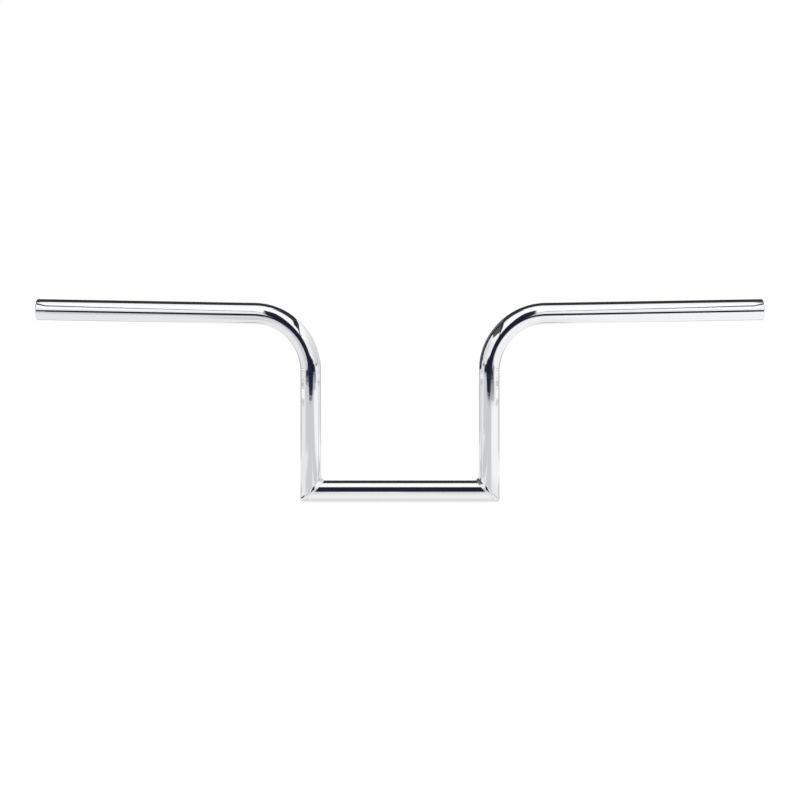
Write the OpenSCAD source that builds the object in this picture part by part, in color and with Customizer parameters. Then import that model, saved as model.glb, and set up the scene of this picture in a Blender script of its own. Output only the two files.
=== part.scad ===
// Rise handlebar for a motorcycle, fabricated from round steel tube.
// A straight cross tube, two arms that rise from its ends and bend outwards
// into the grips, and a weld bead round each mitred corner.
// Origin: middle of the cross tube's axis. X runs along the cross tube, Z up
// the risers, and the grips sweep back towards +Y.

/* [Tube] */
// Outside diameter of the tube
tube_od = 25.4; // [22:0.1:32]
// Wall thickness of the tube
tube_wall = 3.05; // [2.6:0.05:4]

/* [Shape] */
// Width between the axes of the two risers
base_width = 214; // [150:1:300]
// Height from the cross tube's axis to the grips' axes
rise = 213.7; // [150:0.1:330]
// Width over the ends of the two grips
overall_width = 879; // [700:1:1000]
// Centreline radius of the bend between riser and grip
bend_radius = 68; // [50:1:90]
// Angle by which the grips sweep back
sweep = 8.5; // [0:0.5:25]

/* [Tube ends] */
// Chamfer on the outer rim of a grip's end
rim_outer = 1.2; // [0.3:0.1:1.5]
// Chamfer on the bore's rim at a grip's end
rim_inner = 0.6; // [0.3:0.1:1.0]
// Leg of the flat that blunts the sharp outer tip of each mitre
tip_flat = 4.5; // [4:0.1:5]

/* [Weld bead] */
// Leg of the bead along each tube at the side of the corner
bead_leg = 3.6; // [3.4:0.1:5]
// Leg of the bead along each tube in the inner angle
bead_leg_inner = 3.2; // [3:0.1:5]
// Leg of the bead along each tube over the tip, past the tip's flat
bead_leg_tip = 4.9; // [4.7:0.1:5.5]
// Height of the bead above the tubes at the side of the corner
bead_crown = 0.7; // [0.4:0.1:1.2]
// Height of the bead's middle in the inner angle
bead_fillet = 1.8; // [1.5:0.1:2.4]
// Depth of the bead's middle below the tubes' sharp outer tip
bead_round = 1.1; // [0.8:0.1:1.2]

/* [Hidden] */
$fn = 96;

tube_r = tube_od / 2;
bore_r = tube_r - tube_wall;
riser_len = rise - bend_radius;
// A grip's rim reaches half the overall width, its far edge first.
grip_len = (overall_width / 2 - base_width / 2 - tube_r * sin(sweep)) / cos(sweep) - bend_radius;
// Side of the blocks that make the plane cuts at a corner
cut_size = 6 * tube_r;
// Distance of the tip's flat from the corner's centre
tip_plane = (2 * tube_r - tip_flat) / sqrt(2);

// The bead is a closed ring of sections round the mitre's ellipse.
bead_stations = 48;
bead_steps = 8;
// How far the bead stands proud of the tube at its toes
toe_step = 0.06;
// How far its section reaches into the tubes before they are cut from it
root_depth = 0.8;

// Straight tube along +Z, open at both ends.
module straight_tube(length) {
    difference() {
        cylinder(r = tube_r, h = length);
        translate([0, 0, -1]) cylinder(r = bore_r, h = length + 2);
    }
}

// Quarter bend that takes a tube from heading +Z at the origin to heading +X.
module quarter_bend() {
    translate([bend_radius, 0, 0])
        rotate([90, 0, 0]) rotate([0, 0, 90])
            rotate_extrude(angle = 90)
                translate([bend_radius, 0])
                    difference() {
                        circle(r = tube_r);
                        circle(r = bore_r);
                    }
}

// Grip tube along +Z, with both edges of its far rim chamfered.
module grip_tube(length) {
    rotate_extrude()
        polygon([
            [bore_r, 0],
            [tube_r, 0],
            [tube_r, length - rim_outer],
            [tube_r - rim_outer, length],
            [bore_r + rim_inner, length],
            [bore_r, length - rim_inner],
        ]);
}

// Puts a corner's own frame at one end of the cross tube. In that frame the
// origin is where the two axes meet, the cross tube leaves along +X and the
// riser along +Z. The right-hand corner (side 1) is the left one mirrored.
module at_corner(side) {
    translate([side * base_width / 2, 0, 0])
        mirror([side > 0 ? 1 : 0, 0, 0])
            children();
}

// Everything beyond a plane that lies at a distance from the corner's centre
// and faces a direction in the XZ plane, given as an angle from +Z towards +X.
module beyond(angle, distance) {
    rotate([0, angle, 0])
        translate([-cut_size / 2, -cut_size / 2, distance])
            cube(cut_size);
}

// Cuts a tube at the corner: the mitre, on the side that it faces, and the
// flat on the sharp tip.
module mitred(facing) {
    difference() {
        children();
        beyond(facing, 0);
        beyond(-135, tip_plane);
    }
}

// One arm in the corner's frame: riser, bend and grip, swept back towards +Y.
module arm() {
    mitred(135)
        rotate([0, 0, 180 - sweep]) {
            translate([0, 0, -tube_r]) straight_tube(riser_len + tube_r);
            translate([0, 0, riser_len]) quarter_bend();
            translate([bend_radius, 0, rise]) rotate([0, 90, 0]) grip_tube(grip_len);
        }
}

function mix(a, b, s) = a + (b - a) * s;

// Points of the bead's section at angle t round the tubes, where 0 is the
// inner angle of the corner and 180 its outer tip.
function inner(t) = max(cos(t), 0);
function outer(t) = max(-cos(t), 0);
// Leg of the bead along each tube
function leg(t) =
    bead_leg + (bead_leg_inner - bead_leg) * pow(inner(t), 2)
        + (bead_leg_tip - bead_leg) * pow(outer(t), 2);
// Height of the bead's middle over the mitre of the bare tubes
function crown(t) =
    bead_crown + (bead_fillet - bead_crown) * pow(inner(t), 2)
        - (bead_crown + bead_round) * pow(outer(t), 8);
// A point on the mitre of two tubes of radius r
function on_mitre(t, r) = [r * cos(t), r * sin(t), r * cos(t)];
// The bead's toe on each tube, lifted by a height from the tube's surface
function riser_toe(t, lift) =
    on_mitre(t, tube_r) + [0, 0, leg(t)] + lift * [cos(t), sin(t), 0];
function cross_toe(t, lift) =
    on_mitre(t, tube_r) + [leg(t), 0, 0] + lift * [0, sin(t), cos(t)];
// The bead's face: a parabola from toe to toe through its middle, s from -1 to 1
function bead_face(t, s) =
    let (a = riser_toe(t, toe_step), b = cross_toe(t, toe_step))
    mix(a, b, (s + 1) / 2) + (on_mitre(t, tube_r + crown(t)) - (a + b) / 2) * (1 - s * s);
// The bead's root, inside the tubes and behind the tip's flat
function bead_root(t) =
    let (u = max((tube_r - root_depth) * cos(t), root_depth / sqrt(2) - tip_plane / sqrt(2)))
    [u, (tube_r - root_depth) * sin(t), u];
function bead_section(t) = concat(
    [riser_toe(t, -root_depth)],
    [for (i = [0 : bead_steps]) bead_face(t, 2 * i / bead_steps - 1)],
    [cross_toe(t, -root_depth), bead_root(t)]
);

// Closed ring through all the sections. Neighbouring sections are joined by
// two triangles for each pair of their points.
module bead_ring() {
    n = bead_steps + 4;
    points = [for (k = [0 : bead_stations - 1]) each bead_section(360 * k / bead_stations)];
    faces = [
        for (k = [0 : bead_stations - 1], i = [0 : n - 1])
            let (
                next = (k + 1) % bead_stations,
                a = k * n + i,
                b = k * n + (i + 1) % n,
                c = next * n + (i + 1) % n,
                d = next * n + i
            )
            each [[a, c, b], [a, d, c]]
    ];
    polyhedron(points = points, faces = faces);
}

// The two tubes at the corner as solid rods that run on through each other.
module riser_rod() {
    translate([0, 0, -2 * tube_r]) cylinder(r = tube_r, h = 5 * tube_r);
}
module cross_rod() {
    translate([-2 * tube_r, 0, 0]) rotate([0, 90, 0]) cylinder(r = tube_r, h = 5 * tube_r);
}

// The mitred corner without its bore. On the inner side of the corner the
// mitred rods fill what either rod fills, and on the outer side what both do.
module corner_core() {
    difference() {
        union() {
            intersection() {
                riser_rod();
                cross_rod();
            }
            intersection() {
                union() {
                    riser_rod();
                    cross_rod();
                }
                beyond(45, 0);
            }
        }
        beyond(-135, tip_plane);
    }
}

// The bead in the corner's frame, seated on both tubes and on the tip's flat.
module weld() {
    difference() {
        bead_ring();
        corner_core();
    }
}

// Straight tube between the risers, mitred at both ends.
module cross_tube() {
    color("silver")
        difference() {
            translate([-base_width / 2 - tube_r, 0, 0]) rotate([0, 90, 0])
                straight_tube(base_width + 2 * tube_r);
            for (side = [-1, 1]) at_corner(side) {
                beyond(-45, 0);
                beyond(-135, tip_plane);
            }
        }
}

module left_arm() {
    color("gainsboro") at_corner(-1) arm();
}

module right_arm() {
    color("gainsboro") at_corner(1) arm();
}

module left_weld() {
    color("lightslategray") at_corner(-1) weld();
}

module right_weld() {
    color("lightslategray") at_corner(1) weld();
}

cross_tube();
left_arm();
right_arm();
left_weld();
right_weld();
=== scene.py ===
import math

import bpy
import numpy as np
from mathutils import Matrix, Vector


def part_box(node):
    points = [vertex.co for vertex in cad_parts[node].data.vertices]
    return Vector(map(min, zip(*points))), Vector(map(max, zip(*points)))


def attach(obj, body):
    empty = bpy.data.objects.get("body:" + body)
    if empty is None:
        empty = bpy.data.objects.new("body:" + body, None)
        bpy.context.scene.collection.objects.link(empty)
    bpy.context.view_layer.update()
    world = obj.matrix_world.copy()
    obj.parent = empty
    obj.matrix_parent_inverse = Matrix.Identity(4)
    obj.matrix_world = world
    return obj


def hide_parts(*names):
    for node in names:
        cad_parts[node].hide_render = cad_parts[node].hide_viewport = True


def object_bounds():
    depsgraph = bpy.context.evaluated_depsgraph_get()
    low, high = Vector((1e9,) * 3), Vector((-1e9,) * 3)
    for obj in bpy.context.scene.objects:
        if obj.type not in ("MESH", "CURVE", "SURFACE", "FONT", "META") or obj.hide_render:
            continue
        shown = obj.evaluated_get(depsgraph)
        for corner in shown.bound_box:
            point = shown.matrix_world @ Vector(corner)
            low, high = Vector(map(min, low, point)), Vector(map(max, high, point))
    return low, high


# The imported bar: five CAD nodes of steel tube and weld metal on one body.
# Each is replaced below by a smooth surface of the same shape, because chrome
# shows every flat facet of a CAD mesh.
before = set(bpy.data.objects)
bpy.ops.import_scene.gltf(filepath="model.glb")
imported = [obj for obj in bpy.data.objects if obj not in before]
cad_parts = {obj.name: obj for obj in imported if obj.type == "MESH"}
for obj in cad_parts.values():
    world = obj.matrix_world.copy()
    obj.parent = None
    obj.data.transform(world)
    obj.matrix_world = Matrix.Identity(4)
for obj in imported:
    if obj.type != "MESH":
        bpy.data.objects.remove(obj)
cad_low, cad_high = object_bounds()


# The cross tube is the straight length that the fork's clamps hold. It is cut
# from 1 in steel tube and mitred at 45 degrees at both ends, with the sharp
# outer tip of each mitre ground flat. The whole bar is chrome plated together.
tube_radius = 0.0127
bore_radius = 0.00965
tolerance = 0.00001
base_width = 0.214
tip_flat = 0.0045
columns = 240
cross_rows = 24
sharp_edge = math.radians(32)
chrome_colour = (0.80, 0.805, 0.815)
steel_colour = (0.27, 0.25, 0.235)


def wall_radii():
    """Radii of the rows across a tube's cut end, from the outside to the bore."""
    return np.linspace(tube_radius, bore_radius, 4)


def mitre_height(across):
    """How far along its axis a tube starts, at a distance across towards the
    inner angle: on the 45 degree mitre the two are equal, and on the flat of
    the tip their sum is constant. The higher of the two planes wins."""
    return np.maximum(across, -(2 * tube_radius - tip_flat) - across)


def add_ring_mesh(name, points, attributes, mirrored=False):
    """A closed surface through a grid of points: each row is a ring, and the
    last row joins the first. Attributes are arrays on the same grid."""
    rows, around = points.shape[:2]
    index = np.arange(rows * around).reshape(rows, around)
    beside = np.roll(index, -1, axis=1)
    corners = [index, beside, np.roll(beside, -1, axis=0), np.roll(index, -1, axis=0)]
    quads = np.stack(corners, axis=-1).reshape(-1, 4)
    if mirrored:
        quads = quads[:, ::-1]
    mesh = bpy.data.meshes.new(name)
    mesh.vertices.add(rows * around)
    mesh.vertices.foreach_set("co", points.astype(np.float32).ravel())
    mesh.loops.add(quads.size)
    mesh.loops.foreach_set("vertex_index", quads.astype(np.int32).ravel())
    mesh.polygons.add(len(quads))
    mesh.polygons.foreach_set("loop_start", np.arange(0, quads.size, 4, dtype=np.int32))
    for label, values in attributes.items():
        vector = values.ndim == 3
        layer = mesh.attributes.new(label, "FLOAT_VECTOR" if vector else "FLOAT", "POINT")
        layer.data.foreach_set("vector" if vector else "value", values.astype(np.float32).ravel())
    mesh.update(calc_edges=True)
    mesh.validate()
    mesh.shade_smooth()
    mesh.set_sharp_from_angle(angle=sharp_edge)
    piece = bpy.data.objects.new(name, mesh)
    bpy.context.scene.collection.objects.link(piece)
    return piece


def cross_tube_points():
    """A tube along X. Its outer wall runs from the left mitre to the right one
    and its bore wall back. At share v of the way a ring lies between the two
    mitres: x = -w + v * 2w, where w = half the base width less the mitre's
    height at that angle."""
    angle = np.linspace(0, 2 * np.pi, columns, endpoint=False)
    outer = np.linspace(-1, 1, cross_rows)
    radii = wall_radii()
    share = np.concatenate([outer, np.ones(len(radii) - 2), outer[::-1], -np.ones(len(radii) - 2)])
    radius = np.concatenate([
        np.full(cross_rows, tube_radius), radii[1:-1],
        np.full(cross_rows, bore_radius), radii[-2:0:-1],
    ])
    z = radius[:, None] * np.cos(angle)
    y = -radius[:, None] * np.sin(angle)
    reach = base_width / 2 - mitre_height(z)
    x = share[:, None] * reach
    points = np.stack([x, y, z], axis=-1)
    straightened = np.stack([z, y, x], axis=-1)
    inside = np.broadcast_to((radius < tube_radius - tolerance)[:, None], z.shape)
    return points, {"straightened": straightened, "bare": inside.astype(float)}


def node(tree, kind, **settings):
    """A new shader node with the given properties."""
    made = tree.nodes.new("ShaderNode" + kind)
    for name, value in settings.items():
        setattr(made, name, value)
    return made


def join(tree, value, socket):
    """Links an output to an input, or sets the input to a plain value."""
    if isinstance(value, bpy.types.NodeSocket):
        tree.links.new(value, socket)
    else:
        socket.default_value = value


def calculate(tree, operation, *values):
    """The output of a Math node."""
    made = node(tree, "Math", operation=operation)
    for value, socket in zip(values, made.inputs):
        join(tree, value, socket)
    return made.outputs[0]


def ramp(tree, value, start, end, low=0.0, high=1.0):
    """low before start, high after end, and a smooth step between them."""
    made = node(tree, "MapRange", interpolation_type="SMOOTHSTEP")
    for value_in, socket in zip((value, start, end, low, high), made.inputs):
        join(tree, value_in, socket)
    return made.outputs[0]


def blend_colours(tree, share, first, second):
    """The first colour where share is 0 and the second where it is 1."""
    made = node(tree, "Mix", data_type="RGBA")
    join(tree, share, made.inputs["Factor"])
    join(tree, first if isinstance(first, bpy.types.NodeSocket) else (*first, 1), made.inputs[6])
    join(tree, second if isinstance(second, bpy.types.NodeSocket) else (*second, 1), made.inputs[7])
    return made.outputs[2]


def noise(tree, vector, scale, detail=2.0, roughness=0.5, stretch=None):
    """A noise pattern of that scale per metre, stretched by Mapping if wanted."""
    if stretch:
        mapping = node(tree, "Mapping")
        mapping.inputs["Scale"].default_value = stretch
        join(tree, vector, mapping.inputs["Vector"])
        vector = mapping.outputs[0]
    made = node(tree, "TexNoise")
    made.inputs["Scale"].default_value = scale
    made.inputs["Detail"].default_value = detail
    made.inputs["Roughness"].default_value = roughness
    join(tree, vector, made.inputs["Vector"])
    return made.outputs["Fac"]


def new_material(name):
    """An empty material and its Principled shader."""
    made = bpy.data.materials.new(name)
    made.use_nodes = True
    made.node_tree.nodes.clear()
    shader = node(made.node_tree, "BsdfPrincipled")
    out = node(made.node_tree, "OutputMaterial")
    join(made.node_tree, shader.outputs[0], out.inputs["Surface"])
    return made, made.node_tree, shader


def chromed_tube_finish():
    """Chrome plate over polished tube: fine lines run round the tube from the
    polishing belt, soft patches of haze change its gloss, and the plate has a
    slight peel. Deep in the bore the plate gives way to bare steel."""
    material, tree, shader = new_material("chromed_tube")
    along = node(tree, "Attribute", attribute_name="straightened").outputs["Vector"]
    bare_share = node(tree, "Attribute", attribute_name="bare").outputs["Fac"]
    place = node(tree, "TexCoord").outputs["Object"]

    belt_lines = noise(tree, along, 1.0, 3.0, 0.6, stretch=(70, 70, 2400))
    haze = noise(tree, place, 26.0, 3.0, 0.55)
    peel = noise(tree, place, 210.0, 1.0, 0.4)
    rust = noise(tree, along, 330.0, 4.0, 0.65)

    ragged = calculate(tree, "MULTIPLY_ADD", rust, 0.5, calculate(tree, "SUBTRACT", bare_share, 0.25))
    steel = ramp(tree, ragged, 0.35, 0.65)
    plate_colour = blend_colours(tree, ramp(tree, haze, 0.3, 0.7), (0.785, 0.79, 0.803), chrome_colour)
    steel_shade = blend_colours(tree, ramp(tree, rust, 0.35, 0.7), steel_colour, (0.16, 0.12, 0.095))
    colour = blend_colours(tree, steel, plate_colour, steel_shade)
    join(tree, colour, shader.inputs["Base Color"])

    plate_gloss = calculate(tree, "ADD", ramp(tree, haze, 0.3, 0.75, 0.028, 0.055),
                            ramp(tree, belt_lines, 0.45, 0.8, 0.0, 0.03))
    gloss = node(tree, "Mix", data_type="FLOAT")
    join(tree, steel, gloss.inputs["Factor"])
    join(tree, plate_gloss, gloss.inputs[2])
    join(tree, ramp(tree, rust, 0.3, 0.7, 0.42, 0.7), gloss.inputs[3])
    join(tree, gloss.outputs[0], shader.inputs["Roughness"])

    peel_bump = node(tree, "Bump")
    peel_bump.inputs["Strength"].default_value = 0.02
    peel_bump.inputs["Distance"].default_value = 0.0006
    join(tree, peel, peel_bump.inputs["Height"])
    line_bump = node(tree, "Bump")
    line_bump.inputs["Strength"].default_value = 0.01
    line_bump.inputs["Distance"].default_value = 0.0001
    join(tree, belt_lines, line_bump.inputs["Height"])
    join(tree, peel_bump.outputs[0], line_bump.inputs["Normal"])
    join(tree, line_bump.outputs[0], shader.inputs["Normal"])
    shader.inputs["Metallic"].default_value = 1.0
    return material


chromed_tube = chromed_tube_finish()
cross_tube = add_ring_mesh("cross_tube_chromed", *cross_tube_points())
cross_tube.data.materials.append(chromed_tube)
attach(cross_tube, "root")
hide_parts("cross_tube")


# The two arms are the same tube, each bent once. An arm is mitred at its foot,
# rises straight, turns outwards through 90 degrees on a bending former and
# runs straight along the grip, swept back. Its open end is deburred inside and out.
rise = 0.2137
bend_radius = 0.068
sweep = math.radians(8.5)
# The CAD end has a flat outer chamfer. Here it is a round within the CAD box.
rim_chamfer = 0.0012
rim_outer = 0.0014
rim_inner = 0.0006
end_margin = 0.0001
grip_reach = (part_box("right_arm")[1].x + rim_chamfer * math.sin(sweep) - base_width / 2
              - tube_radius * math.sin(sweep)) / math.cos(sweep) - bend_radius
riser_length = rise - bend_radius
plated_depth = 0.018
riser_rows, bend_rows, grip_rows, rim_rows = 12, 96, 24, 7


def arm_path(distance):
    """Centre and the two section directions at distances along the tube's axis
    from the corner: straight up, then round a quarter circle towards the
    grip's direction, then straight along it. The section turns with the path."""
    turn = np.clip((distance - riser_length) / bend_radius, 0, np.pi / 2)
    up = np.array([0, 0, 1.0])
    outward = np.array([-math.cos(sweep), math.sin(sweep), 0])
    beside = np.cross(up, outward)
    past = np.maximum(distance - riser_length - bend_radius * np.pi / 2, 0)
    climb = np.minimum(distance, riser_length) + bend_radius * np.sin(turn)
    spread = bend_radius * (1 - np.cos(turn)) + past
    centre = climb[..., None] * up + spread[..., None] * outward
    # The direction that starts as -outward and tips up as the path turns.
    lifted = np.sin(turn)[..., None] * up - np.cos(turn)[..., None] * outward
    first = (-outward[0]) * lifted + beside[0] * beside
    second = (-outward[1]) * lifted + beside[1] * beside
    return centre, first, second


def arm_points():
    """Rings of points C + rho * (cos a * E1 + sin a * E2) along the arm's path:
    the outer wall from the mitre to the rim, round the rim's two rounded edges,
    then the bore wall back to the mitre and out across its face."""
    angle = np.linspace(0, 2 * np.pi, columns, endpoint=False)
    bend_end = riser_length + bend_radius * np.pi / 2
    tip = bend_end + grip_reach
    face = tip - end_margin
    corner = np.linspace(0, np.pi / 2, rim_rows)
    foot = np.linspace(0, 1, riser_rows)
    bend = np.linspace(riser_length, bend_end, bend_rows + 1)
    grip = np.linspace(bend_end, face - rim_outer, grip_rows)
    radii = wall_radii()

    wall = np.concatenate([foot * riser_length, bend[1:], grip[1:]])
    outer_edge = face - rim_outer + rim_outer * np.sin(corner[1:])
    inner_edge = face - rim_inner + rim_inner * np.sin(corner[::-1])
    distance = np.concatenate([wall, outer_edge, inner_edge, wall[::-1][1:], np.zeros(len(radii) - 2)])
    radius = np.concatenate([
        np.full(len(wall), tube_radius),
        tube_radius - rim_outer + rim_outer * np.cos(corner[1:]),
        bore_radius + rim_inner - rim_inner * np.cos(corner[::-1]),
        np.full(len(wall) - 1, bore_radius), radii[-2:0:-1],
    ])
    # On the riser a ring starts on the mitre and levels out towards the bend.
    across = radius[:, None] * np.cos(angle)
    level = np.clip(distance / riser_length, 0, 1)[:, None]
    along = distance[:, None] + (1 - level) * mitre_height(across)
    centre, first, second = arm_path(along)
    points = centre + across[..., None] * first
    points += (radius[:, None] * np.sin(angle))[..., None] * second
    straightened = np.stack([across, radius[:, None] * np.sin(angle), along], axis=-1)
    depth = tip - along
    inside = (radius < bore_radius + tolerance)[:, None]
    bare = inside * np.clip((depth - plated_depth) / plated_depth, 0, 1)
    return points, {"straightened": straightened, "bare": bare}


def at_corner(points, side):
    """Moves points from a corner's own frame to the left end (side -1) or, as
    their mirror image, to the right end (side 1) of the cross tube."""
    placed = points.copy()
    placed[..., 0] = side * (base_width / 2 - points[..., 0])
    return placed


arm_surface, arm_attributes = arm_points()
for side, label in ((-1, "left"), (1, "right")):
    arm = add_ring_mesh(label + "_arm_chromed", at_corner(arm_surface, side), arm_attributes, side > 0)
    arm.data.materials.append(chromed_tube)
    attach(arm, "root")
    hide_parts(label + "_arm")


# The weld beads join the arms to the cross tube. Each runs once round a mitred
# corner: a fillet in the inner angle, a low crown over the sides and a rounded
# cap on the blunted tip. It was dressed smooth and plated with the tubes.
bead_leg = 0.0036
bead_leg_inner = 0.0032
bead_leg_tip = 0.0049
bead_crown = 0.0007
bead_fillet = 0.0018
bead_round = 0.0011
toe_step = 0.00005
ripple_pitch = 0.0017
ripple_height = 0.00003
ripple_bow = 0.0011
bead_columns, bead_rows, seat_rows = 288, 40, 8
tip_plane = (2 * tube_radius - tip_flat) / math.sqrt(2)


def bead_points():
    """Rings round the corner at angle t, 0 in the inner angle and pi at the
    tip. The face is a parabola in s from the toe on the riser (-1) to the toe
    on the cross tube (1), through a crown over the mitre's ellipse. The seat
    runs back from toe to toe on the tubes, pushed onto the tip's flat."""
    t = np.linspace(0, 2 * np.pi, bead_columns, endpoint=False)
    cosine, sine = np.cos(t), np.sin(t)
    nothing = np.zeros_like(t)
    inner, outer = np.maximum(cosine, 0), np.maximum(-cosine, 0)
    leg = bead_leg + (bead_leg_inner - bead_leg) * inner ** 2 + (bead_leg_tip - bead_leg) * outer ** 2
    crown = bead_crown + (bead_fillet - bead_crown) * inner ** 2 - (bead_crown + bead_round) * outer ** 8
    mitre = np.stack([cosine, sine, cosine], axis=-1)
    riser_toe = tube_radius * mitre + np.stack([nothing, nothing, leg], axis=-1)
    riser_toe += toe_step * np.stack([cosine, sine, nothing], axis=-1)
    cross_toe = tube_radius * mitre + np.stack([leg, nothing, nothing], axis=-1)
    cross_toe += toe_step * np.stack([nothing, sine, cosine], axis=-1)
    s = np.linspace(-1, 1, bead_rows)[:, None, None]
    middle = (tube_radius + crown)[:, None] * mitre
    face = riser_toe + (cross_toe - riser_toe) * (s + 1) / 2
    face = face + (middle - (riser_toe + cross_toe) / 2) * (1 - s ** 2)
    # Ripples left by the puddle: shallow scallops whose fronts bow along the
    # bead. The mitre's ellipse is about 1.25 times as long as the tube's circle.
    ellipse_stretch, inward = 1.25, 0.72
    run = np.unwrap(t) * tube_radius * ellipse_stretch
    front = run[None, :] + ripple_bow * s[..., 0] ** 2
    scallop = np.abs(np.sin(np.pi * front / ripple_pitch)) - 1
    normal = middle - tube_radius * mitre * inward
    normal /= np.linalg.norm(normal, axis=-1, keepdims=True)
    face = face + (ripple_height * scallop * (1 - s[..., 0] ** 4))[..., None] * normal

    share = np.linspace(1, 0, seat_rows)[:, None, None]
    cross_seat = tube_radius * mitre + share * np.stack([leg, nothing, nothing], axis=-1)
    riser_seat = tube_radius * mitre + share[::-1][1:] * np.stack([nothing, nothing, leg], axis=-1)
    seat = np.concatenate([cross_seat, riser_seat])
    over = np.maximum(-(seat[..., 0] + seat[..., 2]) / math.sqrt(2) - tip_plane, 0)
    seat[..., 0] += over / math.sqrt(2)
    seat[..., 2] += over / math.sqrt(2)
    points = np.concatenate([face, seat])
    unreached = np.broadcast_to(inner ** 4, points.shape[:2])
    return points, {"unreached": unreached}


def chromed_weld_finish():
    """Chrome over dressed weld metal: a little duller than the tube, most of all
    in the inner angle, which a polishing wheel can't reach, with the file's
    short marks, shallow waves and a few pinholes under the plate."""
    material, tree, shader = new_material("chromed_weld")
    place = node(tree, "TexCoord").outputs["Object"]
    waves = noise(tree, place, 420.0, 2.0, 0.5)
    marks = noise(tree, place, 1.0, 3.0, 0.6, stretch=(1400, 500, 1400))
    pits = node(tree, "TexVoronoi", feature="F1")
    pits.inputs["Scale"].default_value = 900.0
    join(tree, place, pits.inputs["Vector"])
    pinhole = ramp(tree, pits.outputs["Distance"], 0.08, 0.16, 1.0, 0.0)
    rare = ramp(tree, noise(tree, place, 300.0, 0.0), 0.6, 0.66)
    hole = calculate(tree, "MULTIPLY", pinhole, rare)
    colour = blend_colours(tree, ramp(tree, waves, 0.3, 0.7), (0.73, 0.74, 0.76), (0.785, 0.79, 0.80))
    join(tree, blend_colours(tree, hole, colour, (0.3, 0.3, 0.31)), shader.inputs["Base Color"])
    unreached = node(tree, "Attribute", attribute_name="unreached").outputs["Fac"]
    gloss = calculate(tree, "ADD", ramp(tree, marks, 0.35, 0.75, 0.05, 0.09),
                      calculate(tree, "MULTIPLY", hole, 0.2))
    gloss = calculate(tree, "MULTIPLY_ADD", unreached, 0.3, gloss)
    join(tree, gloss, shader.inputs["Roughness"])
    wave_bump = node(tree, "Bump")
    wave_bump.inputs["Strength"].default_value = 0.12
    wave_bump.inputs["Distance"].default_value = 0.0004
    join(tree, calculate(tree, "SUBTRACT", waves, calculate(tree, "MULTIPLY", hole, 0.5)),
         wave_bump.inputs["Height"])
    join(tree, wave_bump.outputs[0], shader.inputs["Normal"])
    shader.inputs["Metallic"].default_value = 1.0
    return material


chromed_weld = chromed_weld_finish()
bead_surface, bead_attributes = bead_points()
for side, label in ((-1, "left"), (1, "right")):
    bead = add_ring_mesh(label + "_weld_chromed", at_corner(bead_surface, side), bead_attributes, side > 0)
    bead.data.materials.append(chromed_weld)
    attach(bead, "root")
    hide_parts(label + "_weld")


# The studio: a pale table at the bar's lowest point, in a white room made up to
# suit the chrome. The camera sees plain white round the bar. Only polished metal
# sees the shapes on the table, its dark front, and the room's panels and gaps.
degrees = 180 / math.pi
table_half_width = 14.0
front_edge, front_notch, front_softness = 1.13, 0.945, 0.06
room_navy = (0.014, 0.019, 0.040)
table_pale, table_bright = (0.98, 0.98, 0.98), (1.12, 1.12, 1.12)
foot_grey, strip_grey, rear_grey = (0.74, 0.75, 0.77), (0.40, 0.41, 0.43), (0.55, 0.56, 0.58)
tube_light, tube_shade = (1.06, 1.06, 1.06), (0.86, 0.865, 0.875)
rim_grey, dish_bright = (0.52, 0.53, 0.55), (1.25, 1.25, 1.25)
# Zones on the table: lowest, highest and softness. A bearing is in degrees from
# the front, positive to the right; a reach, x or y is in metres.
left_foot_bearing, right_foot_bearing = (-58.0, 14.0, 7.0), (-52.0, 22.0, 7.0)
strip_bearing, strip_reach = (16.0, 56.0, 7.0), (0.93, 1.14, 0.05)
rear_bearing = (120.0, 150.0, 8.0)
tube_light_y, tube_shade_y = (-0.026, -0.0105, 0.003), (-0.0095, 0.03, 0.001)
abreast_bearing = (74.0, 116.0, 4.0)
rim_reach, dish_reach = (0.895, 1.125, 0.02), (0.945, 1.07, 0.015)


def times(tree, *factors):
    """The product of all the factors."""
    product = factors[0]
    for factor in factors[1:]:
        product = calculate(tree, "MULTIPLY", product, factor)
    return product


def fade(tree, value, start, end):
    """1 before start, 0 after end, and a smooth step between them."""
    return ramp(tree, value, start, end, 1.0, 0.0)


def zone(tree, value, low, high, soft):
    """1 between low and high, 0 outside them, with edges of that softness."""
    above = calculate(tree, "SUBTRACT", value, low)
    below = calculate(tree, "SUBTRACT", high, value)
    return times(tree, ramp(tree, above, -soft, soft), ramp(tree, below, -soft, soft))


def angle_from_front(tree, x, y):
    """The bearing of (x, y) in degrees: 0 towards -Y and 90 towards +X."""
    return times(tree, calculate(tree, "ARCTAN2", x, times(tree, y, -1.0)), degrees)


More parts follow.
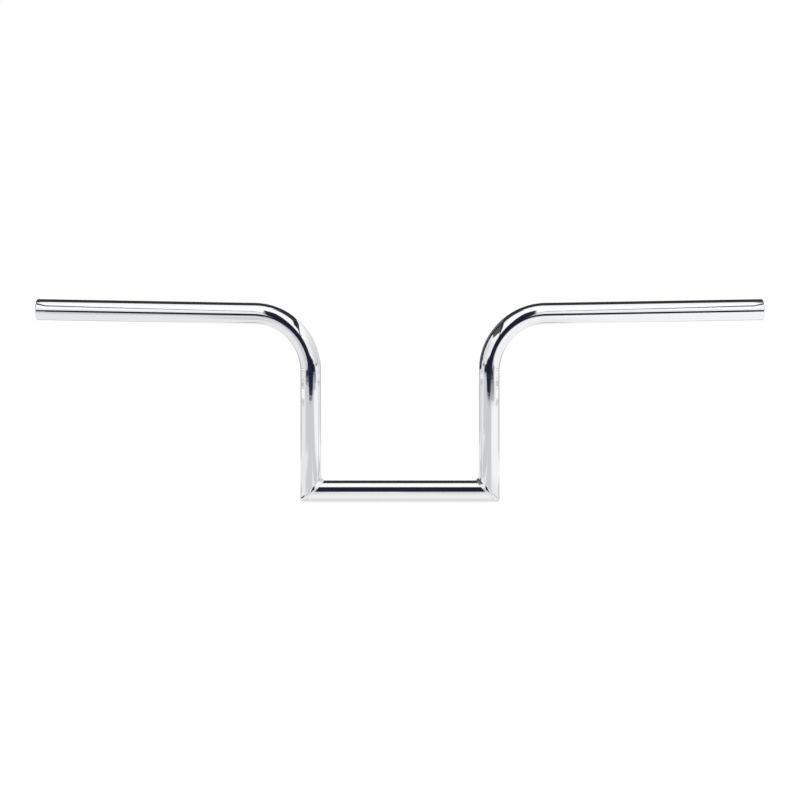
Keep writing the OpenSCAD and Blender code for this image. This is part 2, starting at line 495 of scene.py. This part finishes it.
def table_in_chrome(tree, x, y):
    """The table's colour as polished metal sees it. A riser mirrors the table
    round its own foot, so a place is given by its reach from the nearer foot
    (the root of the sum of squares) and its bearing from there."""
    left_half = calculate(tree, "LESS_THAN", x, 0.0)
    right_half = calculate(tree, "SUBTRACT", 1.0, left_half)
    foot = times(tree, calculate(tree, "SIGN", x), base_width / 2)
    beside = calculate(tree, "SUBTRACT", x, foot)
    reach = calculate(tree, "SQRT", calculate(
        tree, "ADD", times(tree, beside, beside), times(tree, y, y)))
    bearing = angle_from_front(tree, beside, y)
    turned = calculate(tree, "ABSOLUTE", bearing)
    out = calculate(tree, "ABSOLUTE", x)
    seen = blend_colours(tree, ramp(tree, x, 0.16, 0.34), table_pale, table_bright)

    # Soft grey before each foot, kept off the places that the grips mirror.
    left_grey = times(tree, zone(tree, bearing, *left_foot_bearing), left_half)
    right_grey = times(tree, zone(tree, bearing, *right_foot_bearing), right_half)
    off_grips = calculate(tree, "MAXIMUM", fade(tree, out, 0.24, 0.38), ramp(tree, reach, 0.38, 0.52))
    grey = times(tree, fade(tree, y, -0.1, -0.02), off_grips,
                 calculate(tree, "ADD", left_grey, right_grey))
    seen = blend_colours(tree, grey, seen, foot_grey)

    # A greyer strip near the front edge, to the right of each foot.
    strip = times(tree, zone(tree, bearing, *strip_bearing), zone(tree, reach, *strip_reach))
    seen = blend_colours(tree, strip, seen, strip_grey)

    # Soft grey behind the bar, again kept off what the grips mirror.
    off_grips = calculate(tree, "MAXIMUM", ramp(tree, y, 0.22, 0.3), fade(tree, out, 0.19, 0.25))
    behind = times(tree, zone(tree, turned, *rear_bearing), off_grips)
    seen = blend_colours(tree, behind, seen, rear_grey)

    # Light just before the cross tube, and shade under it.
    seen = blend_colours(tree, zone(tree, y, *tube_light_y), seen, tube_light)
    under_tube = times(tree, zone(tree, y, *tube_shade_y), fade(tree, out, 0.11, 0.14))
    seen = blend_colours(tree, under_tube, seen, tube_shade)

    # A bright dish with a grey rim, about a metre out to each side of a foot.
    abreast = zone(tree, turned, *abreast_bearing)
    seen = blend_colours(tree, times(tree, zone(tree, reach, *rim_reach), abreast), seen, rim_grey)
    seen = blend_colours(tree, times(tree, zone(tree, reach, *dish_reach), abreast), seen, dish_bright)

    # The table's front edge, cut back straight before each foot, and the dark
    # room past it. The left foot's notch is turned a little to the left.
    notch_turn = 4.5
    to_side = calculate(tree, "ABSOLUTE", calculate(tree, "MULTIPLY_ADD", left_half, notch_turn, bearing))
    edge = ramp(tree, to_side, 8.0, 20.0, front_notch, front_edge)
    past_edge = ramp(tree, calculate(tree, "SUBTRACT", reach, edge), -front_softness, front_softness)
    return blend_colours(tree, times(tree, past_edge, fade(tree, to_side, 38.0, 60.0)), seen, room_navy)


def mixed_shaders(tree, share, first, second):
    """The first shader where share is 0 and the second where it is 1."""
    mixed = node(tree, "MixShader")
    join(tree, share, mixed.inputs[0])
    join(tree, first.outputs[0], mixed.inputs[1])
    join(tree, second.outputs[0], mixed.inputs[2])
    return mixed


def table_finish():
    """White to the camera, with a share of real light so that the bar's shadow
    stays. Polished metal sees table_in_chrome, and other rays see pale matt."""
    material = bpy.data.materials.new("studio_floor")
    material.use_nodes = True
    tree = material.node_tree
    tree.nodes.clear()
    place = node(tree, "SeparateXYZ")
    join(tree, node(tree, "TexCoord").outputs["Object"], place.inputs[0])
    path = node(tree, "LightPath")
    matt = node(tree, "BsdfDiffuse")
    matt.inputs["Color"].default_value = (0.82, 0.82, 0.82, 1)
    backdrop = node(tree, "Emission")
    backdrop.inputs["Color"].default_value = (1, 1, 1, 1)
    backdrop.inputs["Strength"].default_value = 1.0
    reflected = node(tree, "Emission")
    join(tree, table_in_chrome(tree, place.outputs[0], place.outputs[1]), reflected.inputs["Color"])
    paper = node(tree, "BsdfDiffuse")
    paper.inputs["Color"].default_value = (1, 1, 1, 1)
    backdrop_share = 0.85
    seen = mixed_shaders(tree, backdrop_share, paper, backdrop)
    camera_or_matt = mixed_shaders(tree, path.outputs["Is Camera Ray"], matt, seen)
    final = mixed_shaders(tree, path.outputs["Is Glossy Ray"], camera_or_matt, reflected)
    join(tree, final.outputs[0], node(tree, "OutputMaterial").inputs["Surface"])
    return material


def add_card(name, corners, colour):
    """A flat card in the room that only polished metal sees."""
    mesh = bpy.data.meshes.new(name)
    mesh.from_pydata(corners, [], [tuple(range(len(corners)))])
    card = bpy.data.objects.new(name, mesh)
    bpy.context.scene.collection.objects.link(card)
    material = bpy.data.materials.new(name)
    material.use_nodes = True
    tree = material.node_tree
    tree.nodes.clear()
    glow = node(tree, "Emission")
    glow.inputs["Color"].default_value = (*colour, 1)
    join(tree, glow.outputs[0], node(tree, "OutputMaterial").inputs["Surface"])
    mesh.materials.append(material)
    for ray in ("camera", "diffuse", "transmission", "volume_scatter", "shadow"):
        setattr(card, "visible_" + ray, False)


table_height = cad_low.z - 0.0002
table_mesh = bpy.data.meshes.new("floor")
left, right, near, far = -table_half_width, table_half_width, -table_half_width, table_half_width
table_mesh.from_pydata(
    [(left, near, table_height), (right, near, table_height),
     (right, far, table_height), (left, far, table_height)],
    [], [(0, 1, 2, 3)])
table = bpy.data.objects.new("floor", table_mesh)
bpy.context.scene.collection.objects.link(table)
table_mesh.materials.append(table_finish())

# The ceiling is white over the front half, with a dark gap along each side, and
# dark over the back. A narrow dark flag hangs in front of each grip.
ceiling = 1.32
ceiling_dark = (0.036, 0.039, 0.046)
gap_inner, gap_outer, gap_front, gap_back = 0.81, 0.93, -4.5, 0.3
wall_place, dark_front, room_back = 0.895, 0.27, 20.0
flag_dark = (0.026, 0.027, 0.032)
flag_inner, flag_outer, flag_low, flag_high, flag_front = 0.235, 0.52, 0.140, 0.172, -0.2
for side, label in ((-1, "left"), (1, "right")):
    add_card("ceiling_gap_" + label,
             [(side * gap_inner, gap_front, ceiling), (side * gap_inner, gap_back, ceiling),
              (side * gap_outer, gap_back, ceiling), (side * gap_outer, gap_front, ceiling)],
             ceiling_dark)
    add_card("flag_" + label,
             [(side * flag_inner, flag_front, flag_low), (side * flag_inner, flag_front, flag_high),
              (side * flag_outer, flag_front, flag_high), (side * flag_outer, flag_front, flag_low)],
             flag_dark)
add_card("ceiling_behind",
         [(-wall_place, dark_front, ceiling), (wall_place, dark_front, ceiling),
          (wall_place, room_back, ceiling), (-wall_place, room_back, ceiling)], ceiling_dark)

# The left-hand wall has a dark doorway a little behind the bar and is grey past it.
door_front, door_back, door_foot = 0.14, 0.69, 0.05
add_card("doorway",
         [(-wall_place, door_front, door_foot), (-wall_place, door_back, door_foot),
          (-wall_place, door_back, ceiling), (-wall_place, door_front, ceiling)],
         (0.03, 0.032, 0.038))
add_card("grey_wall",
         [(-wall_place, door_back, 0.0), (-wall_place, room_back, 0.0),
          (-wall_place, room_back, ceiling), (-wall_place, door_back, ceiling)],
         (0.16, 0.165, 0.175))

# The far room, by its direction from the bar. A gap's edges are in degrees of
# steepness and drift with the angle from the camera's side: from angle, to
# angle, edge before and edge after.
panel_low, panel_high = (1.05, 1.05, 1.05), (1.3, 1.3, 1.3)
wall_low, wall_high = (0.86, 0.865, 0.87), (1.15, 1.15, 1.15)
right_gap_low, right_gap_high = (30.0, 90.0, 50.0, 47.0), (70.0, 105.0, 56.5, 78.0)
left_gap_low, left_gap_high = (26.0, 62.0, 45.5, 33.0), (80.0, 108.0, 51.5, 75.0)
right_gap_dark = (0.03, 0.033, 0.04)
left_gap_dark, left_gap_grey = (0.04, 0.043, 0.05), (0.10, 0.105, 0.115)
gap_span = (32.0, 125.0, 8.0)
room_foot_dark = (0.02, 0.022, 0.03)


def gap_over_wall(tree, from_camera, steepness, low, high, soft):
    """Where the dark gap over the top of a side wall shows: between two edges
    of steepness that drift with the angle from the camera's side."""
    low_edge = ramp(tree, from_camera, *low)
    high_edge = ramp(tree, from_camera, *high)
    return times(tree, zone(tree, steepness, low_edge, high_edge, soft), zone(tree, from_camera, *gap_span))


def studio_world():
    """The far room by direction: white panels in front, paler walls at the
    sides with a dark gap over each, the room's dark foot in front, and a dark
    column where the camera stands. Steepness is the angle of z over x, which
    stays the same along a wall's top. Rays that aren't mirrored see plain white."""
    world = bpy.data.worlds.new("studio")
    bpy.context.scene.world = world
    world.use_nodes = True
    tree = world.node_tree
    tree.nodes.clear()
    way = node(tree, "SeparateXYZ")
    join(tree, node(tree, "TexCoord").outputs["Generated"], way.inputs[0])
    x, y, z = way.outputs
    from_camera = calculate(tree, "ABSOLUTE", angle_from_front(tree, x, y))
    elevation = times(tree, calculate(tree, "ARCSINE", z), degrees)
    steepness = times(tree, calculate(tree, "ARCTAN2", z, calculate(tree, "ABSOLUTE", x)), degrees)
    on_left = calculate(tree, "LESS_THAN", x, 0.0)
    on_right = calculate(tree, "SUBTRACT", 1.0, on_left)

    panels = blend_colours(tree, ramp(tree, elevation, 15.0, 30.0), panel_low, panel_high)
    wall = blend_colours(tree, ramp(tree, elevation, 18.0, 42.0), wall_low, wall_high)
    seen = blend_colours(tree, ramp(tree, from_camera, 35.0, 70.0), panels, wall)

    # The gap over the left-hand wall is greyer and reaches lower.
    right_gap = gap_over_wall(tree, from_camera, steepness, right_gap_low, right_gap_high, 1.0)
    left_gap = gap_over_wall(tree, from_camera, steepness, left_gap_low, left_gap_high, 1.2)
    left_shade = blend_colours(tree, ramp(tree, from_camera, 35.0, 60.0), left_gap_dark, left_gap_grey)
    seen = blend_colours(tree, times(tree, right_gap, on_right), seen, right_gap_dark)
    seen = blend_colours(tree, times(tree, left_gap, on_left), seen, left_shade)

    foot = times(tree, fade(tree, from_camera, 30.0, 46.0), fade(tree, elevation, 1.5, 4.0))
    seen = blend_colours(tree, foot, seen, room_foot_dark)
    column_lean = 0.125
    leaned = calculate(tree, "MULTIPLY_ADD", elevation, column_lean, from_camera)
    column = times(tree, fade(tree, leaned, 14.5, 17.5), fade(tree, elevation, 47.0, 57.0))
    seen = blend_colours(tree, column, seen, room_navy)

    path = node(tree, "LightPath")
    plain = blend_colours(tree, path.outputs["Is Glossy Ray"], (1.0, 1.0, 1.0), seen)
    background = node(tree, "Background")
    join(tree, plain, background.inputs["Color"])
    background.inputs["Strength"].default_value = 1.0
    join(tree, background.outputs[0], node(tree, "OutputWorld").inputs["Surface"])


studio_world()

# One broad soft lamp overhead, kept out of the reflections, which the panels make.
lamp_data = bpy.data.lights.new("overhead_lamp", "AREA")
lamp_data.shape = "RECTANGLE"
lamp_data.size = 1.6
lamp_data.size_y = 1.2
lamp_data.energy = 14.0
lamp = bpy.data.objects.new("overhead_lamp", lamp_data)
lamp.location = (0.0, -0.2, 1.8)
lamp.visible_glossy = False
bpy.context.scene.collection.objects.link(lamp)

# The camera stands far off in front, a little above the bar. frame_width is how
# much the square picture takes in at the bar's distance.
camera_distance = 6.8
camera_elevation = math.radians(7.65)
frame_width = 0.9596
sensor_width = 36.0
aim = np.array([0.0, 0.0, 0.1103])
towards_camera = np.array([0, -math.cos(camera_elevation), math.sin(camera_elevation)])
camera_data = bpy.data.cameras.new("camera")
camera_data.sensor_width = sensor_width
camera_data.lens = sensor_width * camera_distance / frame_width
camera_data.clip_end = 60.0
camera = bpy.data.objects.new("camera", camera_data)
camera.location = aim + camera_distance * towards_camera
camera.rotation_euler = (math.pi / 2 - camera_elevation, 0, 0)
bpy.context.scene.collection.objects.link(camera)
bpy.context.scene.camera = camera
bpy.context.scene.view_settings.view_transform = "Standard"
